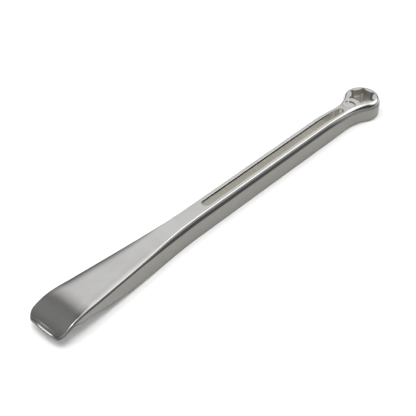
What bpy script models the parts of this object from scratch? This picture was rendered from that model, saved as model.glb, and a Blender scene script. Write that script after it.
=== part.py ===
"""Forged tyre lever with a ring spanner end.

One forging: a curved spoon blade at -X, a slotted shank, and a ring with a
stepped hexagon at +X. Units are metres. Z = 0 is the plane it lies on.
"""
import math

import bmesh
import bpy
from mathutils import Vector

MM = 0.001

# Overall
LENGTH = 273 * MM
HEIGHT = 14.5 * MM
TIP_X = -LENGTH / 2

# Ring
RING_RADIUS = 11.6 * MM
RING_X = LENGTH / 2 - RING_RADIUS
RING_TOP_STEP = 1.7 * MM           # the ring is thinner than the shank by these two steps
RING_BOTTOM_STEP = 0.7 * MM
RING_BLEND = (-45 * MM, -14 * MM)  # they ease in between these distances from the ring's centre

# Shank and neck
SHANK_HALF_WIDTH = 5.6 * MM
NECK_FILLET = 30 * MM

# Spoon blade
BLADE_HALF_WIDTH = 12.5 * MM
CORNER_RADIUS = 5.2 * MM
FRONT_RADIUS = 60 * MM
SIDE_RADIUS = 140 * MM           # gently bowed side between corner and flare
FLARE_SLOPE = 0.086              # half-width lost per unit of length
FLARE_BLEND = 17 * MM            # half-length of the arc from flare to shank
CURL_LENGTH = 23 * MM            # the tip curls down over this length
CURL_RADIUS = 38 * MM
TIP_THICKNESS = 2.2 * MM
TAPER_LENGTH = 78 * MM           # the blade thins over this length
CROWN_REACH = (8 * MM, 17 * MM)  # the underside of the tip is crowned, easing out between these
CROWN_WIDTH = 4.5 * MM
RIM_THICKNESS = 1.3 * MM         # what the crown leaves at the rim

# Slight arch across the top of the blade: its long edges lie lower than the middle
CAMBER_DROP = 0.9 * MM
CAMBER_WIDTH = 6.0 * MM          # how far in from the rim the arch reaches
CAMBER_LEAST_WIDTH = 0.3 * MM    # what is left of that width where there is no arch
CAMBER_START = (5 * MM, 28 * MM)

# Rounding of the upper rim, (width, depth): finest at the tip, steep on the shank, full on the ring
TIP_EDGE = (0.7 * MM, 0.8 * MM)
BLADE_EDGE = (0.8 * MM, 1.9 * MM)
SHANK_EDGE = (1.4 * MM, 4.1 * MM)
RING_EDGE = (2.6 * MM, 4.3 * MM)
EDGE_CHANGE = (-60 * MM, -20 * MM)  # from blade to shank, before the slot's start
LOWER_EDGE = 0.8 * MM

# Slot
SLOT_WIDTH = 5.0 * MM
SLOT_START = RING_X - 148 * MM
SLOT_END = RING_X - 21.1 * MM
SLOT_CHAMFER = 0.2 * MM

# Stepped hexagon, across its flats
HEX_UPPER = 13.1 * MM
HEX_LOWER = 12.1 * MM
HEX_STEP_Z = 8.0 * MM            # the ledge between the two sizes
HEX_CHAMFER = 0.2 * MM
RELIEF_RADIUS = 1.2 * MM         # round relief in each corner
RELIEF_SETBACK = 0.15 * MM       # from the corner to the relief's centre
HEX_SECTOR = math.radians(30)    # from a flat's middle to a corner

# Shallow round recess on the neck
RECESS_RADIUS = 3.9 * MM
RECESS_DEPTH = 0.6 * MM
RECESS_X = RING_X - 14.0 * MM

OVERSHOOT = 2 * MM               # cutters run this far past the faces

# Facets
EDGE_STEPS = 4
CAMBER_STEPS = 3
FRONT_STEPS = 5
CORNER_STEPS = 7
SIDE_STEPS = 4
FLARE_STEPS = 12
BLEND_STEPS = 6
SHANK_STEPS = 3
FILLET_STEPS = 8
RING_STEPS = 20
SLOT_STEPS = 12
RELIEF_STEPS = 6
RECESS_STEPS = 40


def clear_scene():
    for obj in list(bpy.data.objects):
        bpy.data.objects.remove(obj, do_unlink=True)


def ease(value, low, high):
    """0 below low, 1 above high, and a smooth step between them."""
    t = min(max((value - low) / (high - low), 0.0), 1.0)
    return t * t * (3 - 2 * t)


def top_z(x):
    """Height of the upper face: flat, lowered at the ring, curled down at the tip."""
    into_curl = max(TIP_X + CURL_LENGTH - x, 0.0)
    curl = CURL_RADIUS - math.sqrt(CURL_RADIUS ** 2 - into_curl ** 2)
    return HEIGHT - curl - RING_TOP_STEP * ease(x - RING_X, *RING_BLEND)


def thickness(x):
    along = min((x - TIP_X) / TAPER_LENGTH, 1.0)
    full = TIP_THICKNESS + (HEIGHT - TIP_THICKNESS) * math.sin(math.pi / 2 * along)
    return full - (RING_TOP_STEP + RING_BOTTOM_STEP) * ease(x - RING_X, *RING_BLEND)


def bottom_z(x):
    return top_z(x) - thickness(x)


def edge(x):
    """(width, depth) of the upper rim's rounding at x."""
    at_tip = ease(x, TIP_X, TIP_X + CURL_LENGTH)
    at_shank = ease(x - SLOT_START, *EDGE_CHANGE)
    at_ring = ease(x - RING_X, *RING_BLEND)
    size = []
    for tip, blade, shank, ring in zip(TIP_EDGE, BLADE_EDGE, SHANK_EDGE, RING_EDGE):
        value = tip + (blade - tip) * at_tip + (shank - blade) * at_shank + (ring - shank) * at_ring
        size.append(value)
    return size


def camber(x):
    """Share of the blade's arch at x: none at the tip, none on the shank."""
    return ease(x - TIP_X, *CAMBER_START) * (1 - ease(x - SLOT_START, *EDGE_CHANGE))


def quarter_round():
    """(inset, drop) of each loop in a rounded rim, in units of its size, from the wall in."""
    layers = []
    for step in range(EDGE_STEPS + 1):
        angle = math.pi / 2 * step / EDGE_STEPS
        layers.append((1 - math.cos(angle), 1 - math.sin(angle)))
    return layers


def upper_layers(x):
    """(inset, drop) of each loop of the upper side at x: round the rim, then over the arch."""
    width, depth = edge(x)
    share = camber(x)
    layers = [(width * inset, depth * drop + CAMBER_DROP * share) for inset, drop in quarter_round()]
    reach = CAMBER_LEAST_WIDTH + (CAMBER_WIDTH - CAMBER_LEAST_WIDTH) * share
    for step in range(1, CAMBER_STEPS + 1):
        along = step / CAMBER_STEPS
        layers.append((width + reach * along, CAMBER_DROP * share * (1 - along) ** 2))
    return layers


def lower_layers(x):
    """(inset, rise) of each loop of the underside at x, out to the wall; a wide crown at the tip."""
    crown = 1 - ease(x - TIP_X, *CROWN_REACH)
    width = LOWER_EDGE + (CROWN_WIDTH - LOWER_EDGE) * crown
    highest = max(thickness(x) - RIM_THICKNESS, LOWER_EDGE)
    height = LOWER_EDGE + (highest - LOWER_EDGE) * crown
    return [(width * inset, height * rise) for inset, rise in reversed(quarter_round())]


def arc(centre, radius, start, end, steps):
    """Points on an arc with their outward normals; angles in radians, ends included."""
    points = []
    for step in range(steps + 1):
        angle = start + (end - start) * step / steps
        normal = Vector((math.cos(angle), math.sin(angle)))
        points.append((Vector(centre) + radius * normal, normal))
    return points


def line(start, end, steps):
    """Points inside a straight stretch, without its ends, with outward normals."""
    along = (Vector(end) - Vector(start)).normalized()
    normal = Vector((-along.y, along.x))
    points = []
    for step in range(1, steps):
        points.append((Vector(start).lerp(Vector(end), step / steps), normal))
    return points


def hollow_arc(centre, radius, start, end, steps):
    """An arc that the outline passes on its inside, so its normals point to its centre."""
    return [(point, -normal) for point, normal in arc(centre, radius, start, end, steps)]


def half_outline():
    """The +Y half of the plan, from the middle of the tip to the far end of the ring."""
    flare_angle = math.atan(FLARE_SLOPE)

    # The corner circle touches the front circle from inside, and its top is at the full half-width.
    corner_y = BLADE_HALF_WIDTH - CORNER_RADIUS
    reach = math.sqrt((FRONT_RADIUS - CORNER_RADIUS) ** 2 - corner_y ** 2)
    front_centre = Vector((TIP_X + FRONT_RADIUS, 0))
    corner = Vector((front_centre.x - reach, corner_y))
    front_end = math.atan2(corner_y, corner.x - front_centre.x)

    points = arc(front_centre, FRONT_RADIUS, math.pi, front_end, FRONT_STEPS)
    points += arc(corner, CORNER_RADIUS, front_end, math.pi / 2, CORNER_STEPS)[1:]

    # Bowed side, turning from square to the flare's angle.
    side_centre = (corner.x, BLADE_HALF_WIDTH - SIDE_RADIUS)
    points += arc(side_centre, SIDE_RADIUS, math.pi / 2, math.pi / 2 - flare_angle, SIDE_STEPS)[1:]

    # Flare line down to the shank, with an arc at the join.
    flare_start = points[-1][0]
    join_x = flare_start.x + (flare_start.y - SHANK_HALF_WIDTH) / FLARE_SLOPE
    blend_radius = FLARE_BLEND / math.tan(flare_angle / 2)
    blend_end = Vector((join_x + FLARE_BLEND, SHANK_HALF_WIDTH))
    blend_centre = Vector((blend_end.x, SHANK_HALF_WIDTH + blend_radius))
    blend = hollow_arc(blend_centre, blend_radius, -math.pi / 2 - flare_angle, -math.pi / 2, BLEND_STEPS)
    points += line(flare_start, blend[0][0], FLARE_STEPS)
    points += blend

    # Hollow neck fillet, touching the shank and the ring.
    rise = SHANK_HALF_WIDTH + NECK_FILLET
    run = math.sqrt((RING_RADIUS + NECK_FILLET) ** 2 - rise ** 2)
    neck_centre = Vector((RING_X - run, rise))
    ring_touch = math.atan2(rise, -run)
    neck = hollow_arc(neck_centre, NECK_FILLET, -math.pi / 2, ring_touch - math.pi, FILLET_STEPS)
    points += line(blend_end, neck[0][0], SHANK_STEPS)
    points += neck

    points += arc((RING_X, 0), RING_RADIUS, ring_touch, 0.0, RING_STEPS)[1:]
    return points


def full_outline():
    """The closed outline, clockwise from the tip: the +Y half, then its mirror image."""
    half = half_outline()
    mirrored = []
    for point, normal in reversed(half[1:-1]):
        mirrored.append((Vector((point.x, -point.y)), Vector((normal.x, -normal.y))))
    return half + mirrored


def body_mesh():
    """Stacked copies of the outline, from the bottom face to the top face, closed by rungs."""
    outline = full_outline()
    mesh = bmesh.new()
    loops = []
    for layers, face_z, inward in ((lower_layers, bottom_z, 1), (upper_layers, top_z, -1)):
        columns = [layers(point.x) for point, _ in outline]
        for row in zip(*columns):
            loop = []
            for (point, normal), (inset, drop) in zip(outline, row):
                place = point - normal * inset
                loop.append(mesh.verts.new((place.x, place.y, face_z(place.x) + inward * drop)))
            loops.append(loop)

    count = len(outline)
    for lower, upper in zip(loops, loops[1:]):
        for i in range(count):
            j = (i + 1) % count
            mesh.faces.new((lower[i], lower[j], upper[j], upper[i]))
    for loop in (loops[0], loops[-1]):
        last = count // 2
        mesh.faces.new((loop[0], loop[1], loop[-1]))
        for i in range(1, last - 1):
            mesh.faces.new((loop[i], loop[i + 1], loop[-i - 1], loop[-i]))
        mesh.faces.new((loop[last - 1], loop[last], loop[last + 1]))
    bmesh.ops.recalc_face_normals(mesh, faces=mesh.faces)
    return mesh


def prism_mesh(sections):
    """A closed solid through (outline, z) sections whose outlines have equal counts."""
    mesh = bmesh.new()
    loops = []
    for outline, z in sections:
        loops.append([mesh.verts.new((point.x, point.y, z)) for point in outline])
    count = len(loops[0])
    for lower, upper in zip(loops, loops[1:]):
        for i in range(count):
            j = (i + 1) % count
            mesh.faces.new((lower[i], lower[j], upper[j], upper[i]))
    mesh.faces.new(loops[0])
    mesh.faces.new(loops[-1])
    bmesh.ops.recalc_face_normals(mesh, faces=mesh.faces)
    return mesh


def slot_outline(grow):
    radius = SLOT_WIDTH / 2
    quarter = math.pi / 2
    start = arc((SLOT_START + radius, 0), radius + grow, quarter, 3 * quarter, SLOT_STEPS)
    end = arc((SLOT_END - radius, 0), radius + grow, -quarter, quarter, SLOT_STEPS)
    return [point for point, _ in start + end]


def hexagon_outline(across_flats, grow):
    """Hexagon with flats across the X axis and a round relief in each corner."""
    apothem = across_flats / 2 + grow
    relief = RELIEF_RADIUS + grow
    reach = across_flats / 2 / math.cos(HEX_SECTOR) - RELIEF_SETBACK
    # Each relief leaves and rejoins the flats where its circle crosses them.
    swing = HEX_SECTOR + math.acos((apothem - reach * math.cos(HEX_SECTOR)) / relief)
    points = []
    for corner in range(6):
        direction = HEX_SECTOR * (2 * corner + 1)
        centre = (RING_X + reach * math.cos(direction), reach * math.sin(direction))
        relief_arc = arc(centre, relief, direction - swing, direction + swing, RELIEF_STEPS)
        points += [point for point, _ in relief_arc]
    return points


def disc_outline(centre_x, radius, steps):
    points = arc((centre_x, 0), radius, 0.0, 2 * math.pi, steps)
    return [point for point, _ in points[:-1]]


def chamfered_through(outline, chamfer, low, high):
    """Sections of a cut from face to face, opened out by a chamfer at both."""
    past = chamfer + OVERSHOOT
    return [
        (outline(past), low - OVERSHOOT),
        (outline(0.0), low + chamfer),
        (outline(0.0), high - chamfer),
        (outline(past), high + OVERSHOOT),
    ]


def slot_cutter():
    return prism_mesh(chamfered_through(slot_outline, SLOT_CHAMFER, 0.0, HEIGHT))


def hexagon_cutter():
    low = RING_BOTTOM_STEP
    high = HEIGHT - RING_TOP_STEP
    past = HEX_CHAMFER + OVERSHOOT
    return prism_mesh([
        (hexagon_outline(HEX_LOWER, past), low - OVERSHOOT),
        (hexagon_outline(HEX_LOWER, 0.0), low + HEX_CHAMFER),
        (hexagon_outline(HEX_LOWER, 0.0), HEX_STEP_Z),
        (hexagon_outline(HEX_UPPER, 0.0), HEX_STEP_Z + (HEX_UPPER - HEX_LOWER) / 2),
        (hexagon_outline(HEX_UPPER, 0.0), high - HEX_CHAMFER),
        (hexagon_outline(HEX_UPPER, past), high + OVERSHOOT),
    ])


def recess_cutter():
    floor = HEIGHT - RING_TOP_STEP - RECESS_DEPTH
    wall = disc_outline(RECESS_X, RECESS_RADIUS, RECESS_STEPS)
    return prism_mesh([(wall, floor), (wall, HEIGHT + OVERSHOOT)])


def metal():
    material = bpy.data.materials.new("satin_aluminium")
    material.use_nodes = True
    shader = material.node_tree.nodes["Principled BSDF"]
    shader.inputs["Base Color"].default_value = (0.62, 0.61, 0.59, 1.0)
    shader.inputs["Metallic"].default_value = 1.0
    shader.inputs["Roughness"].default_value = 0.32
    return material


def add_object(name, mesh):
    data = bpy.data.meshes.new(name)
    mesh.to_mesh(data)
    mesh.free()
    obj = bpy.data.objects.new(name, data)
    bpy.context.collection.objects.link(obj)
    return obj


def add_cutter(name, mesh, target):
    cutter = add_object(name, mesh)
    cutter.hide_render = True
    cutter.display_type = "WIRE"
    cut = target.modifiers.new(name, "BOOLEAN")
    cut.operation = "DIFFERENCE"
    cut.solver = "EXACT"
    cut.object = cutter


def build():
    clear_scene()
    lever = add_object("lever_body", body_mesh())
    add_cutter("slot_cutter", slot_cutter(), lever)
    add_cutter("recess_cutter", recess_cutter(), lever)
    add_cutter("hexagon_cutter", hexagon_cutter(), lever)
    lever.data.materials.append(metal())
    lever.data.shade_smooth()
    lever.data.set_sharp_from_angle(angle=math.radians(32))


build()
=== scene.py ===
"""Finished look of a forged tyre lever with a ring spanner end.

One piece, lever, stands for the CAD node lever_body and is built round its box.
Lengths are metres and +Z is up. X runs along the lever, from the spoon's tip to
the ring. The studio is a white floor, a world of soft panels that the metal mirrors, and
an overhead light for the floor that is hidden from the metal.
"""

import math

import bmesh
import bpy
from mathutils import Euler, Matrix, Vector


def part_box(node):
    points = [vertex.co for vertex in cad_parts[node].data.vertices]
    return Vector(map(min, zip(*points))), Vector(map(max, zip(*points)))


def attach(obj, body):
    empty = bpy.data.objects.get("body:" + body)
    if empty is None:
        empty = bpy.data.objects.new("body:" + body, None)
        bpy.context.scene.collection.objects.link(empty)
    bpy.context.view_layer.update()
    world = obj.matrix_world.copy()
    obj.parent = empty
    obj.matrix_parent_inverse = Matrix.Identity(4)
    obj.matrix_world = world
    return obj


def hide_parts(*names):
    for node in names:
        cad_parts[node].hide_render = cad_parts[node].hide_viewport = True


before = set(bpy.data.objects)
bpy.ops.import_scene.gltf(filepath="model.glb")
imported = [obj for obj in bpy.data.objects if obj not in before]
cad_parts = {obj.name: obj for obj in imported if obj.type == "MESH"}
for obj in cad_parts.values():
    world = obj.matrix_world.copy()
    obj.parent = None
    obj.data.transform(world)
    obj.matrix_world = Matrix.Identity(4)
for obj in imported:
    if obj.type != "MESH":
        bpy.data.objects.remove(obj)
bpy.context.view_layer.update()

MM = 0.001
LOW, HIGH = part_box("lever_body")

# Overall, from the CAD node's box
TIP_X = LOW.x
END_X = HIGH.x
HEIGHT = HIGH.z - LOW.z
FLOOR_Z = LOW.z

# Ring
RING_RADIUS = 11.6 * MM
RING_X = END_X - RING_RADIUS
RING_TOP_STEP = 1.7 * MM
RING_BOTTOM_STEP = 0.7 * MM
RING_BLEND = (-45 * MM, -14 * MM)

# Shank and neck
SHANK_HALF_WIDTH = 5.6 * MM
NECK_FILLET = 30 * MM

# Spoon blade
BLADE_HALF_WIDTH = 12.5 * MM
CORNER_RADIUS = 5.2 * MM
FRONT_RADIUS = 60 * MM
SIDE_RADIUS = 140 * MM
FLARE_SLOPE = 0.086
FLARE_BLEND = 17 * MM
CURL_LENGTH = 23 * MM
CURL_RADIUS = 38 * MM
TIP_THICKNESS = 2.2 * MM
TAPER_LENGTH = 78 * MM
CROWN_REACH = (8 * MM, 17 * MM)
CROWN_WIDTH = 4.5 * MM
RIM_THICKNESS = 1.3 * MM

# Rounding of the upper rims, (width, depth): finest at the tip, steep on the shank, widest on the ring
TIP_EDGE = (0.7 * MM, 0.8 * MM)
BLADE_EDGE = (0.8 * MM, 1.9 * MM)
SHANK_EDGE = (1.4 * MM, 4.1 * MM)
RING_EDGE = (2.6 * MM, 4.3 * MM)
EDGE_CHANGE = (-60 * MM, -20 * MM)  # from blade to shank, before the slot
LOWER_EDGE_LIMIT = 0.8 * MM

# Slight crown of the blade's top: the long edges lie this far below the middle
CAMBER_DROP = 0.9 * MM
CAMBER_WIDTH = 6.0 * MM
CAMBER_LEAST_WIDTH = 0.3 * MM
CAMBER_TIP_WIDTH = 2.6 * MM
CAMBER_START = (5 * MM, 28 * MM)

# Ground facet across the front of the tip. Its profile is (inset, drop) in mm, from the wall to the top
FRONT_FACING = -0.5  # greatest x of a wall normal that belongs to the front edge
FACET_HALF_WIDTH = 9.5 * MM
FACET_FADE = 0.7  # below 1 the facet keeps its depth further towards its ends
FACET_SETBACK = 0.7 * MM
FACET_DEPTH = 2.8 * MM
FACET_PROFILE = (
    (0.00, 1.25), (0.06, 0.95), (0.12, 0.70), (0.28, 0.42), (0.44, 0.14), (0.60, 0.04), (1.15, -0.40),
    (1.25, -0.44), (2.05, 0.00),
)

# Painted shade: a dark strip painted on the front wall under the facet's bright lens, in place of the dark
# reflection of the shadow below. Its upper limit is lowest at the lens's centre
LENS_CENTRE = -1.5 * MM
LENS_HALF_WIDTH = (3.5 * MM, 7.0 * MM)
LENS_FOOT = (0.02 * MM, 0.95 * MM)
LENS_BLUR = 0.08 * MM
LENS_SHADE_STRENGTH = 0.85

# Slot
SLOT_HALF_WIDTH = 2.5 * MM
SLOT_START = RING_X - 148 * MM
SLOT_END = RING_X - 21.1 * MM
SLOT_RIM = 0.2 * MM

# Stepped hexagon
HEX_UPPER = 13.1 * MM
HEX_LOWER = 12.1 * MM
HEX_STEP_Z = 8.0 * MM
HEX_RIM = 0.2 * MM
RELIEF_RADIUS = 1.2 * MM
RELIEF_SETBACK = 0.15 * MM
HEX_SECTOR = math.radians(30)

# Shallow round recess
RECESS_RADIUS = 3.9 * MM
RECESS_DEPTH = 0.6 * MM
RECESS_RIM = 0.35 * MM
RECESS_X = RING_X - 14.0 * MM

# Cutters
OVERSHOOT = 2 * MM
MOUTH_SWEEP = math.radians(84)  # how far round a mouth's quarter round goes
MOUTH_EXCESS = 0.3  # how far a mouth's flare passes the face, in rim widths

# Facets of the fine mesh
EDGE_STEPS = 16
CAMBER_STEPS = 10
FRONT_STEPS = 28
CORNER_STEPS = 30
SIDE_STEPS = 16
FLARE_STEPS = 60
BLEND_STEPS = 20
SHANK_STEPS = 70
FILLET_STEPS = 50
RING_STEPS = 90
SLOT_STEPS = 40
RELIEF_STEPS = 16
RECESS_STEPS = 96
RIM_STEPS = 6

# Shading of the mesh
SHARP_ANGLE = math.radians(40)
AREA_WEIGHT = 60

# Satin metal: pairs of colours and roughnesses are the two ends of a slight mottle
FACE_COLOURS = ((0.70, 0.69, 0.68, 1), (0.76, 0.755, 0.745, 1))
SIDE_COLOURS = ((0.24, 0.234, 0.217, 1), (0.32, 0.312, 0.29, 1))
HEXAGON_COLOUR = (0.60, 0.585, 0.54, 1)
# Painted light: the slot's walls are painted lighter than the faces, to lift the shade inside the slot
SLOT_LIGHTENED_COLOUR = (0.86, 0.84, 0.79, 1)
# Painted shade: dark colours mixed over the metal on the shoulders of the upper edges, under the tip's
# facet and at the slot's mouth, in place of dark reflections and shade; darker on the shank than on the
# ring
SHANK_SHADE_COLOUR = (0.045, 0.044, 0.043, 1)
RING_SHADE_COLOUR = (0.16, 0.157, 0.15, 1)
FACE_ROUGHNESS = (0.16, 0.21)
SIDE_ROUGHNESS = (0.38, 0.50)
SLOT_DULLNESS = 0.1
MOTTLE = (0.3, 0.7)
PITS = (0.62, 0.78)
BRUSHED_SCALE = (60, 2600, 2600)
CLOUD_SCALE = 55.0
GRAIN_SCALE = 2600.0
PIT_SCALE = 900.0
BRUSHED_BUMP = (0.05, 0.04 * MM)
GRAIN_BUMP = (0.25, 0.08 * MM)

# Where each finish and the painted shade on the shoulders begin and end, by levelness: 0 on a vertical
# wall, 1 on a level face
SIDE_SLOPE = (0.02, 0.14)
SHOULDER_SHADE_START = (0.01, 0.05)
SHOULDER_SHADE_END = (0.22, 0.64)
SLOT_WALL_SLOPE = (0.5, 0.8)
HEXAGON_WALL_SLOPE = (0.90, 0.98)
# Painted shade: the slot's walls darken from the first depth below the top to the second, and stay dark
# above it
SLOT_MOUTH_SHADE_DEPTH = (1.9 * MM, 0.9 * MM)

# Camera: where it looks, and the point over the ring's centre at full height as it sees it, given as
# (right, up, forward)
CAMERA_AZIMUTH = math.radians(47.47)
CAMERA_PITCH = math.radians(40.43)
RING_FROM_CAMERA = (97.34 * MM, 72.50 * MM, 577.6 * MM)
LENS = 79.226
SENSOR_WIDTH = 36
CLIP_START = 0.01

# Studio. Soft panels: direction (right, back, up), inner and outer half-angle in degrees, brightness
PANELS = (
    ((0.72, 0.20, 0.66), 14, 40, 1.5),
    ((0.10, 1.00, 0.88), 6, 36, 0.70),
    ((-0.52, 0.30, 0.80), 4, 28, 0.10),
    ((-1.00, 0.10, 0.70), 10, 45, 0.07),
    ((0.10, -0.24, 0.97), 6, 14, 7.0),
    ((-0.10, -1.00, 0.70), 12, 42, 0.40),
)
SURROUND = 0.06
WORLD_MAP_SIZE = 512
LIGHT_DIRECTION = (-0.28, -0.10, 1.00)
LIGHT_DISTANCE = 2.0
LIGHT_SIZE = 2.0
LIGHT_POWER = 33
FLOOR_HALF_SIZE = 6.0
FLOOR_COLOUR = (0.9, 0.9, 0.9, 1)
FLOOR_ROUGHNESS = 0.9


def ease(value, low, high):
    """A smooth step from 0 at low to 1 at high."""
    t = min(max((value - low) / (high - low), 0.0), 1.0)
    return t * t * (3 - 2 * t)


def top_z(x):
    into_curl = max(TIP_X + CURL_LENGTH - x, 0.0)
    curl = CURL_RADIUS - math.sqrt(CURL_RADIUS ** 2 - into_curl ** 2)
    return FLOOR_Z + HEIGHT - curl - RING_TOP_STEP * ease(x - RING_X, *RING_BLEND)


def thickness(x):
    along = min(max((x - TIP_X) / TAPER_LENGTH, 0.0), 1.0)
    full = TIP_THICKNESS + (HEIGHT - TIP_THICKNESS) * math.sin(math.pi / 2 * along)
    return full - (RING_TOP_STEP + RING_BOTTOM_STEP) * ease(x - RING_X, *RING_BLEND)


def bottom_z(x):
    return top_z(x) - thickness(x)


def edge(x):
    """(width, depth) of the upper rim's rounding at x."""
    at_tip = ease(x, TIP_X, TIP_X + CURL_LENGTH)
    at_shank = ease(x - SLOT_START, *EDGE_CHANGE)
    at_ring = ease(x - RING_X, *RING_BLEND)
    size = []
    for tip, blade, shank, ring in zip(TIP_EDGE, BLADE_EDGE, SHANK_EDGE, RING_EDGE):
        value = tip + (blade - tip) * at_tip + (shank - blade) * at_shank + (ring - shank) * at_ring
        size.append(value)
    return size


def arc(centre, radius, start, end, steps):
    """Points of an arc, each with its normal away from the centre."""
    points = []
    for step in range(steps + 1):
        angle = start + (end - start) * step / steps
        normal = Vector((math.cos(angle), math.sin(angle)))
        points.append((Vector(centre) + radius * normal, normal))
    return points


def line(start, end, steps):
    """Points inside a straight stretch, without its ends, each with the normal on its left."""
    along = (Vector(end) - Vector(start)).normalized()
    normal = Vector((-along.y, along.x))
    points = []
    for step in range(1, steps):
        points.append((Vector(start).lerp(Vector(end), step / steps), normal))
    return points


def hollow_arc(centre, radius, start, end, steps):
    """Points of an arc, each with its normal towards the centre."""
    return [(point, -normal) for point, normal in arc(centre, radius, start, end, steps)]


def half_outline():
    """The +Y half of the plan, from the middle of the tip to the far end of the ring."""
    flare_angle = math.atan(FLARE_SLOPE)
    corner_y = BLADE_HALF_WIDTH - CORNER_RADIUS
    reach = math.sqrt((FRONT_RADIUS - CORNER_RADIUS) ** 2 - corner_y ** 2)
    front_centre = Vector((TIP_X + FRONT_RADIUS, 0))
    corner = Vector((front_centre.x - reach, corner_y))
    front_end = math.atan2(corner_y, corner.x - front_centre.x)
    points = arc(front_centre, FRONT_RADIUS, math.pi, front_end, FRONT_STEPS)
    points += arc(corner, CORNER_RADIUS, front_end, math.pi / 2, CORNER_STEPS)[1:]

    side_centre = (corner.x, BLADE_HALF_WIDTH - SIDE_RADIUS)
    points += arc(side_centre, SIDE_RADIUS, math.pi / 2, math.pi / 2 - flare_angle, SIDE_STEPS)[1:]

    flare_start = points[-1][0]
    join_x = flare_start.x + (flare_start.y - SHANK_HALF_WIDTH) / FLARE_SLOPE
    blend_radius = FLARE_BLEND / math.tan(flare_angle / 2)
    blend_end = Vector((join_x + FLARE_BLEND, SHANK_HALF_WIDTH))
    blend_centre = Vector((blend_end.x, SHANK_HALF_WIDTH + blend_radius))
    blend = hollow_arc(blend_centre, blend_radius, -math.pi / 2 - flare_angle, -math.pi / 2, BLEND_STEPS)
    points += line(flare_start, blend[0][0], FLARE_STEPS)
    points += blend

    rise = SHANK_HALF_WIDTH + NECK_FILLET
    run = math.sqrt((RING_RADIUS + NECK_FILLET) ** 2 - rise ** 2)
    neck_centre = Vector((RING_X - run, rise))
    ring_touch = math.atan2(rise, -run)
    neck = hollow_arc(neck_centre, NECK_FILLET, -math.pi / 2, ring_touch - math.pi, FILLET_STEPS)
    points += line(blend_end, neck[0][0], SHANK_STEPS)
    points += neck
    points += arc((RING_X, 0), RING_RADIUS, ring_touch, 0.0, RING_STEPS)[1:]
    return points


def full_outline():
    half = half_outline()
    mirrored = []
    for point, normal in reversed(half[1:-1]):
        mirrored.append((Vector((point.x, -point.y)), Vector((normal.x, -normal.y))))
    return half + mirrored


def facet_weight(point, normal):
    """1 in the middle of the tip's front edge, 0 from the facet's two ends on."""
    if normal.x > FRONT_FACING:
        return 0.0
    return max(1 - (point.y / FACET_HALF_WIDTH) ** 2, 0.0) ** FACET_FADE


def facet_point(share):
    """(inset, drop) at a share of the way along the facet's profile, in metres."""
    place = share * (len(FACET_PROFILE) - 1)
    i = min(int(place), len(FACET_PROFILE) - 2)
    t = place - i
    first, second = FACET_PROFILE[i], FACET_PROFILE[i + 1]
    return tuple((a + (b - a) * t) * MM for a, b in zip(first, second))


def upper_rim(point, normal, step):
    """(inset, drop) of one layer of the upper rim, from the wall to the top face."""
    angle = math.pi / 2 * step / EDGE_STEPS
    width, depth = edge(point.x)
    inset = width * (1 - math.cos(angle))
    drop = depth * (1 - math.sin(angle))
    weight = facet_weight(point, normal)
    if weight > 0:
        facet_inset, facet_drop = facet_point(step / EDGE_STEPS)
        inset += (FACET_SETBACK + facet_inset - inset) * weight
        drop += (facet_drop - drop) * weight
    return inset, drop


def camber(x):
    """How much of the blade's crown there is at x."""
    return ease(x - TIP_X, *CAMBER_START) * (1 - ease(x - SLOT_START, *EDGE_CHANGE))


def camber_layer(point, normal, step):
    """(inset, drop) of one layer of the crown, inwards from the rim."""
    share = camber(point.x)
    at_tip = 1 - ease(point.x - TIP_X, *CAMBER_START)
    rim_inset = upper_rim(point, normal, EDGE_STEPS)[0]
    width = CAMBER_LEAST_WIDTH
    width += (CAMBER_WIDTH - CAMBER_LEAST_WIDTH) * share + (CAMBER_TIP_WIDTH - CAMBER_LEAST_WIDTH) * at_tip
    innermost = edge(point.x)[0] + width
    along = step / CAMBER_STEPS
    return rim_inset + (innermost - rim_inset) * along, CAMBER_DROP * share * (1 - along) ** 2


def lower_rim(point, normal, step):
    """(inset, rise) of one layer of the lower rim, from the bottom face to the wall."""
    angle = math.pi / 2 * step / EDGE_STEPS
    radius = min(edge(point.x)[1], LOWER_EDGE_LIMIT)
    crown = 1 - ease(point.x - TIP_X, *CROWN_REACH)
    rise = max(thickness(point.x) - RIM_THICKNESS, radius)
    width = radius + (CROWN_WIDTH - radius) * crown
    height = radius + (rise - radius) * crown
    setback = FACET_SETBACK * facet_weight(point, normal) * math.sin(angle)
    return width * (1 - math.sin(angle)) + setback, height * (1 - math.cos(angle))


def body_mesh():
    outline = full_outline()
    mesh = bmesh.new()
    loops = []
    for step in range(EDGE_STEPS + 1):
        loop = []
        for point, normal in outline:
            inset, rise = lower_rim(point, normal, step)
            place = point - normal * inset
            loop.append(mesh.verts.new((place.x, place.y, bottom_z(place.x) + rise)))
        loops.append(loop)
    for step in range(EDGE_STEPS + 1):
        loop = []
        for point, normal in outline:
            inset, drop = upper_rim(point, normal, step)
            drop += CAMBER_DROP * camber(point.x)
            place = point - normal * inset
            loop.append(mesh.verts.new((place.x, place.y, top_z(place.x) - drop)))
        loops.append(loop)
    for step in range(1, CAMBER_STEPS + 1):
        loop = []
        for point, normal in outline:
            inset, drop = camber_layer(point, normal, step)
            place = point - normal * inset
            loop.append(mesh.verts.new((place.x, place.y, top_z(place.x) - drop)))
        loops.append(loop)

    count = len(outline)
    for lower, upper in zip(loops, loops[1:]):
        for i in range(count):
            j = (i + 1) % count
            mesh.faces.new((lower[i], lower[j], upper[j], upper[i]))
    for loop in (loops[0], loops[-1]):
        last = count // 2
        mesh.faces.new((loop[0], loop[1], loop[-1]))
        for i in range(1, last - 1):
            mesh.faces.new((loop[i], loop[i + 1], loop[-i - 1], loop[-i]))
        mesh.faces.new((loop[last - 1], loop[last], loop[last + 1]))
    bmesh.ops.recalc_face_normals(mesh, faces=mesh.faces)
    return mesh


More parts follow.
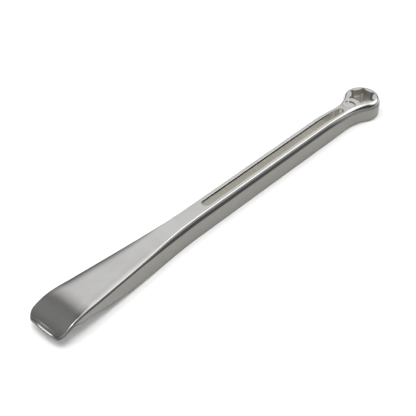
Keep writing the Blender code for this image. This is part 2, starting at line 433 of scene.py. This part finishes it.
def loft(sections):
    """A closed solid through lists of points with equal counts; the first and last are flat."""
    mesh = bmesh.new()
    loops = [[mesh.verts.new(point) for point in section] for section in sections]
    count = len(loops[0])
    for lower, upper in zip(loops, loops[1:]):
        for i in range(count):
            j = (i + 1) % count
            mesh.faces.new((lower[i], lower[j], upper[j], upper[i]))
    mesh.faces.new(loops[0])
    mesh.faces.new(loops[-1])
    bmesh.ops.recalc_face_normals(mesh, faces=mesh.faces)
    return mesh


def rim_layers(rim):
    """(grow, depth) of a cutter's flared mouth: a quarter round that just passes the face."""
    layers = []
    for step in range(RIM_STEPS + 1):
        angle = MOUTH_SWEEP * step / RIM_STEPS
        layers.append((rim * (1 - math.cos(angle)), rim * (1 - math.sin(angle))))
    grow, depth = layers[-1]
    layers.append((grow + rim, depth - MOUTH_EXCESS * rim))
    return layers


def at_depth(outline, depth, face_z, sign):
    """The outline at a depth below the top face (sign 1) or above the bottom face (sign -1)."""
    return [(p.x, p.y, face_z(p.x) - sign * depth) for p in outline]


def level(outline, z):
    return [(p.x, p.y, z) for p in outline]


def slot_outline(grow):
    radius = SLOT_HALF_WIDTH + grow
    quarter = math.pi / 2
    start = arc((SLOT_START + SLOT_HALF_WIDTH, 0), radius, quarter, 3 * quarter, SLOT_STEPS)
    end = arc((SLOT_END - SLOT_HALF_WIDTH, 0), radius, -quarter, quarter, SLOT_STEPS)
    low_side = line(start[-1][0], end[0][0], SHANK_STEPS)
    high_side = line(end[-1][0], start[0][0], SHANK_STEPS)
    return [point for point, _ in start + low_side + end + high_side]


def hexagon_outline(across_flats, grow):
    apothem = across_flats / 2 + grow
    relief = RELIEF_RADIUS + grow
    reach = across_flats / 2 / math.cos(HEX_SECTOR) - RELIEF_SETBACK
    swing = HEX_SECTOR + math.acos((apothem - reach * math.cos(HEX_SECTOR)) / relief)
    points = []
    for corner in range(6):
        direction = HEX_SECTOR * (2 * corner + 1)
        centre = (RING_X + reach * math.cos(direction), reach * math.sin(direction))
        relief_arc = arc(centre, relief, direction - swing, direction + swing, RELIEF_STEPS)
        points += [point for point, _ in relief_arc]
    return points


def slot_cutter():
    mouth = rim_layers(SLOT_RIM)
    sections = [level(slot_outline(mouth[-1][0]), FLOOR_Z - OVERSHOOT)]
    for grow, depth in reversed(mouth):
        sections.append(at_depth(slot_outline(grow), depth, bottom_z, -1))
    for grow, depth in mouth:
        sections.append(at_depth(slot_outline(grow), depth, top_z, 1))
    sections.append(level(slot_outline(mouth[-1][0]), FLOOR_Z + HEIGHT + OVERSHOOT))
    return loft(sections)


def hexagon_cutter():
    mouth = rim_layers(HEX_RIM)
    low = FLOOR_Z + RING_BOTTOM_STEP
    high = FLOOR_Z + HEIGHT - RING_TOP_STEP
    ledge = FLOOR_Z + HEX_STEP_Z
    sections = [level(hexagon_outline(HEX_LOWER, mouth[-1][0]), low - OVERSHOOT)]
    for grow, depth in reversed(mouth):
        sections.append(level(hexagon_outline(HEX_LOWER, grow), low + depth))
    sections.append(level(hexagon_outline(HEX_LOWER, 0.0), ledge))
    sections.append(level(hexagon_outline(HEX_UPPER, 0.0), ledge + (HEX_UPPER - HEX_LOWER) / 2))
    for grow, depth in mouth:
        sections.append(level(hexagon_outline(HEX_UPPER, grow), high - depth))
    sections.append(level(hexagon_outline(HEX_UPPER, mouth[-1][0]), high + OVERSHOOT))
    return loft(sections)


def recess_cutter():
    """A shallow dish: flat floor, rounded corner, rounded mouth that follows the top face."""
    circle = [normal for _, normal in arc((0, 0), 1, 0.0, 2 * math.pi, RECESS_STEPS)[:-1]]
    centre = Vector((RECESS_X, 0))

    def ring(radius, depth):
        points = []
        for normal in circle:
            p = centre + radius * normal
            points.append((p.x, p.y, top_z(RECESS_X) - depth))
        return points

    sections = []
    for step in range(RIM_STEPS + 1):
        angle = math.pi / 2 * step / RIM_STEPS
        radius = RECESS_RADIUS - RECESS_RIM * (1 - math.sin(angle))
        sections.append(ring(radius, RECESS_DEPTH - RECESS_RIM * (1 - math.cos(angle))))
    for grow, depth in rim_layers(RECESS_DEPTH - RECESS_RIM)[1:]:
        sections.append(ring(RECESS_RADIUS + grow, depth))
    sections.append(ring(RECESS_RADIUS + RECESS_RIM, -OVERSHOOT))
    return loft(sections)


def add_object(name, mesh):
    data = bpy.data.meshes.new(name)
    mesh.to_mesh(data)
    mesh.free()
    obj = bpy.data.objects.new(name, data)
    bpy.context.collection.objects.link(obj)
    return obj


def apply_modifiers(obj):
    graph = bpy.context.evaluated_depsgraph_get()
    finished = bpy.data.meshes.new_from_object(obj.evaluated_get(graph))
    obj.modifiers.clear()
    obj.data = finished


def cut(target, name, mesh):
    cutter = add_object(name, mesh)
    boolean = target.modifiers.new(name, "BOOLEAN")
    boolean.operation = "DIFFERENCE"
    boolean.solver = "EXACT"
    boolean.object = cutter
    apply_modifiers(target)
    bpy.data.objects.remove(cutter, do_unlink=True)


class Nodes:
    """Small helper that adds and joins shader nodes."""

    def __init__(self, tree):
        self.tree = tree

    def add(self, kind, **settings):
        node = self.tree.nodes.new(kind)
        for key, value in settings.items():
            setattr(node, key, value)
        return node

    def link(self, source, target):
        self.tree.links.new(source, target)

    def math(self, operation, first, second=None, third=None):
        node = self.add("ShaderNodeMath", operation=operation)
        for socket, value in zip(node.inputs, (first, second, third)):
            self.put(socket, value)
        return node.outputs[0]

    def product(self, *values):
        total = values[0]
        for value in values[1:]:
            total = self.math("MULTIPLY", total, value)
        return total

    def parts(self, vector):
        node = self.add("ShaderNodeSeparateXYZ")
        self.link(vector, node.inputs[0])
        return node.outputs

    def put(self, socket, value):
        if value is None:
            return
        if isinstance(value, bpy.types.NodeSocket):
            self.link(value, socket)
        else:
            socket.default_value = value

    def smooth(self, value, low, high, to_low=0.0, to_high=1.0):
        node = self.add("ShaderNodeMapRange", interpolation_type="SMOOTHSTEP")
        names = ("Value", "From Min", "From Max", "To Min", "To Max")
        for name, item in zip(names, (value, low, high, to_low, to_high)):
            self.put(node.inputs[name], item)
        return node.outputs[0]

    def noise(self, vector, scale, detail, roughness=0.5):
        node = self.add("ShaderNodeTexNoise")
        self.link(vector, node.inputs["Vector"])
        node.inputs["Scale"].default_value = scale
        node.inputs["Detail"].default_value = detail
        node.inputs["Roughness"].default_value = roughness
        return node.outputs["Fac"]

    def stretched(self, vector, scale):
        node = self.add("ShaderNodeMapping")
        self.link(vector, node.inputs["Vector"])
        node.inputs["Scale"].default_value = scale
        return node.outputs["Vector"]

    def mix(self, share, first, second):
        node = self.add("ShaderNodeMix", data_type="RGBA")
        self.put(node.inputs["Factor"], share)
        self.put(node.inputs[6], first)
        self.put(node.inputs[7], second)
        return node.outputs[2]

    def inverse(self, value):
        return self.math("SUBTRACT", 1.0, value)

    def bump(self, height, strength, distance, normal=None):
        node = self.add("ShaderNodeBump")
        node.inputs["Strength"].default_value = strength
        node.inputs["Distance"].default_value = distance
        self.link(height, node.inputs["Height"])
        if normal is not None:
            self.link(normal, node.inputs["Normal"])
        return node.outputs["Normal"]


def slot_mask(n, where, off_centre, levelness):
    """1 on the slot's walls."""
    inner = SLOT_HALF_WIDTH + SLOT_RIM
    between_sides = n.smooth(off_centre, inner, inner + SLOT_RIM, 1.0, 0.0)
    before_end = n.math("LESS_THAN", where["X"], SLOT_END + SLOT_RIM)
    after_start = n.math("GREATER_THAN", where["X"], SLOT_START - SLOT_RIM)
    steep = n.smooth(levelness, *SLOT_WALL_SLOPE, 1.0, 0.0)
    return n.product(between_sides, before_end, after_start, steep)


def hexagon_mask(n, where, off_centre, levelness):
    """1 on the hexagon's walls and ledge."""
    along = n.math("SUBTRACT", where["X"], RING_X)
    squares = n.math("ADD", n.product(along, along), n.product(off_centre, off_centre))
    inside = n.math("LESS_THAN", n.math("SQRT", squares), RING_RADIUS - RING_EDGE[0])
    not_level = n.smooth(levelness, *HEXAGON_WALL_SLOPE, 1.0, 0.0)
    return n.product(inside, not_level)


def facet_masks(n, where, off_centre):
    """1 on the tip's facet, and the strength of the painted shade under its bright middle."""
    along = n.smooth(where["X"], TIP_X + FACET_DEPTH, TIP_X + FACET_DEPTH + 0.4 * MM, 1.0, 0.0)
    across = n.smooth(off_centre, FACET_HALF_WIDTH, FACET_HALF_WIDTH + 1 * MM, 1.0, 0.0)
    # Painted shade: a dark strip under the lens, below a limit that is lowest at the lens's centre
    off_lens = n.math("ABSOLUTE", n.math("SUBTRACT", where["Y"], LENS_CENTRE))
    lowest, highest = (top_z(TIP_X) + rise for rise in LENS_FOOT)
    foot = n.smooth(off_lens, *LENS_HALF_WIDTH, lowest, highest)
    below = n.math("SUBTRACT", foot, where["Z"])
    under = n.smooth(below, -LENS_BLUR, LENS_BLUR, 0.0, LENS_SHADE_STRENGTH)
    return n.product(along, across), n.product(along, under)


def lever_metal():
    """Satin aluminium: brushed faces and grainy duller sides, with painted shade as dark bands on the
    upper edges' shoulders, under the tip's facet and at the slot's mouth, and slot walls painted lighter
    than the faces.
    """
    material = bpy.data.materials.new("satin_aluminium")
    material.use_nodes = True
    n = Nodes(material.node_tree)
    shader = material.node_tree.nodes["Principled BSDF"]
    place = n.add("ShaderNodeTexCoord")
    position = place.outputs["Object"]
    where = n.parts(position)
    levelness = n.math("ABSOLUTE", n.parts(place.outputs["Normal"])["Z"])
    off_centre = n.math("ABSOLUTE", where["Y"])

    in_slot = slot_mask(n, where, off_centre, levelness)
    in_hexagon = hexagon_mask(n, where, off_centre, levelness)
    on_facet, facet_under_shade = facet_masks(n, where, off_centre)
    outside = n.product(n.inverse(in_slot), n.inverse(on_facet))

    side = n.product(n.smooth(levelness, *SIDE_SLOPE, 1.0, 0.0), outside)
    side = n.math("MAXIMUM", side, in_hexagon)
    # Painted shade: a dark band on the steep shoulders just under the upper edges, in place of a dark
    # reflection
    rising = n.smooth(levelness, *SHOULDER_SHADE_START)
    falling = n.smooth(levelness, *SHOULDER_SHADE_END, 1.0, 0.0)
    shoulder_shade = n.product(rising, falling, outside, n.inverse(in_hexagon))
    # Painted shade: a dark band along the top of the slot's walls
    mouth_low, mouth_high = (FLOOR_Z + HEIGHT - depth for depth in SLOT_MOUTH_SHADE_DEPTH)
    slot_mouth_shade = n.product(in_slot, n.smooth(where["Z"], mouth_low, mouth_high))
    # All the painted shade: the shoulders, the strip under the tip's facet and the slot's mouth
    dark = n.math("MAXIMUM", n.math("MAXIMUM", shoulder_shade, facet_under_shade), slot_mouth_shade)

    brushed = n.noise(n.stretched(position, BRUSHED_SCALE), 1.0, 3.0)
    cloudy = n.noise(position, CLOUD_SCALE, 4.0, 0.6)
    grain = n.noise(position, GRAIN_SCALE, 3.0, 0.6)
    pits = n.smooth(n.noise(position, PIT_SCALE, 2.0), *PITS)

    face_colour = n.mix(n.smooth(cloudy, *MOTTLE), *FACE_COLOURS)
    side_colour = n.mix(n.smooth(grain, *MOTTLE), *SIDE_COLOURS)
    colour = n.mix(side, face_colour, side_colour)
    colour = n.mix(in_hexagon, colour, HEXAGON_COLOUR)
    # Painted light: slot walls lighter than the faces
    colour = n.mix(in_slot, colour, SLOT_LIGHTENED_COLOUR)
    # The painted shade's colour goes from the shank's darker one to the ring's lighter one
    at_ring = n.smooth(n.math("SUBTRACT", where["X"], RING_X), *RING_BLEND)
    shade_colour = n.mix(at_ring, SHANK_SHADE_COLOUR, RING_SHADE_COLOUR)
    n.link(n.mix(dark, colour, shade_colour), shader.inputs["Base Color"])

    face_roughness = n.smooth(cloudy, *MOTTLE, *FACE_ROUGHNESS)
    side_roughness = n.smooth(grain, *MOTTLE, *SIDE_ROUGHNESS)
    difference = n.math("SUBTRACT", side_roughness, face_roughness)
    dull = n.math("MULTIPLY_ADD", in_slot, SLOT_DULLNESS, side)
    n.link(n.math("MULTIPLY_ADD", dull, difference, face_roughness), shader.inputs["Roughness"])

    side_grain = n.math("MULTIPLY", n.math("SUBTRACT", grain, pits), side)
    fine = n.bump(brushed, *BRUSHED_BUMP)
    n.link(n.bump(side_grain, *GRAIN_BUMP, fine), shader.inputs["Normal"])
    shader.inputs["Metallic"].default_value = 1.0
    return material


def build_lever():
    lever = add_object("lever", body_mesh())
    cut(lever, "slot", slot_cutter())
    cut(lever, "recess", recess_cutter())
    cut(lever, "hexagon", hexagon_cutter())
    lever.data.materials.clear()
    lever.data.materials.append(lever_metal())
    lever.data.shade_smooth()
    lever.data.set_sharp_from_angle(angle=SHARP_ANGLE)
    weighted = lever.modifiers.new("weighted", "WEIGHTED_NORMAL")
    weighted.keep_sharp = True
    weighted.weight = AREA_WEIGHT
    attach(lever, "root")
    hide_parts("lever_body")


def floor():
    mesh = bmesh.new()
    bmesh.ops.create_grid(mesh, x_segments=1, y_segments=1, size=FLOOR_HALF_SIZE)
    obj = add_object("floor", mesh)
    obj.location.z = FLOOR_Z
    material = bpy.data.materials.new("white_floor")
    material.use_nodes = True
    shader = material.node_tree.nodes["Principled BSDF"]
    shader.inputs["Base Color"].default_value = FLOOR_COLOUR
    shader.inputs["Roughness"].default_value = FLOOR_ROUGHNESS
    shader.inputs["Specular IOR Level"].default_value = 0.0
    obj.data.materials.append(material)
    return obj


def studio_direction(right, back, up):
    """A fixed direction, given by the main view's right and back along the floor, and up."""
    right_axis = Vector((math.cos(CAMERA_AZIMUTH), -math.sin(CAMERA_AZIMUTH), 0))
    back_axis = Vector((math.sin(CAMERA_AZIMUTH), math.cos(CAMERA_AZIMUTH), 0))
    return (right * right_axis + back * back_axis + Vector((0, 0, up))).normalized()


def studio_world():
    world = bpy.data.worlds.new("studio")
    bpy.context.scene.world = world
    world.use_nodes = True
    n = Nodes(world.node_tree)
    background = world.node_tree.nodes["Background"]
    direction = n.add("ShaderNodeTexCoord").outputs["Generated"]
    total = SURROUND
    for axis, inner, outer, brightness in PANELS:
        dot = n.add("ShaderNodeVectorMath", operation="DOT_PRODUCT")
        n.link(direction, dot.inputs[0])
        dot.inputs[1].default_value = studio_direction(*axis)
        dark_from, full_from = (math.cos(math.radians(angle)) for angle in (outer, inner))
        glow = n.smooth(dot.outputs["Value"], dark_from, full_from, 0.0, brightness)
        total = n.math("ADD", glow, total)
    colour = n.add("ShaderNodeCombineXYZ")
    for socket in colour.inputs:
        n.link(total, socket)
    n.link(colour.outputs[0], background.inputs["Color"])
    background.inputs["Strength"].default_value = 1.0
    world.cycles.sampling_method = "MANUAL"
    world.cycles.sample_map_resolution = WORLD_MAP_SIZE


def overhead_light():
    """Broad soft light that whitens the floor, hidden from the metal's reflections."""
    data = bpy.data.lights.new("overhead", "AREA")
    data.shape = "DISK"
    data.size = LIGHT_SIZE
    data.energy = LIGHT_POWER
    obj = bpy.data.objects.new("overhead", data)
    bpy.context.collection.objects.link(obj)
    direction = studio_direction(*LIGHT_DIRECTION)
    obj.location = LIGHT_DISTANCE * direction
    obj.rotation_euler = direction.to_track_quat("Z", "Y").to_euler()
    obj.visible_glossy = False
    obj.visible_camera = False


def camera():
    data = bpy.data.cameras.new("camera")
    data.sensor_width = SENSOR_WIDTH
    data.lens = LENS
    data.clip_start = CLIP_START
    obj = bpy.data.objects.new("camera", data)
    bpy.context.collection.objects.link(obj)
    turn = Euler((math.pi / 2 - CAMERA_PITCH, 0, -CAMERA_AZIMUTH)).to_matrix()
    right, up, forward = RING_FROM_CAMERA
    offset = turn @ Vector((right, up, -forward))
    over_ring = Vector((RING_X, 0, FLOOR_Z + HEIGHT))
    obj.matrix_world = Matrix.Translation(over_ring - offset) @ turn.to_4x4()
    bpy.context.scene.camera = obj


build_lever()
floor()
studio_world()
overhead_light()
camera()
bpy.context.scene.view_settings.view_transform = "Standard"
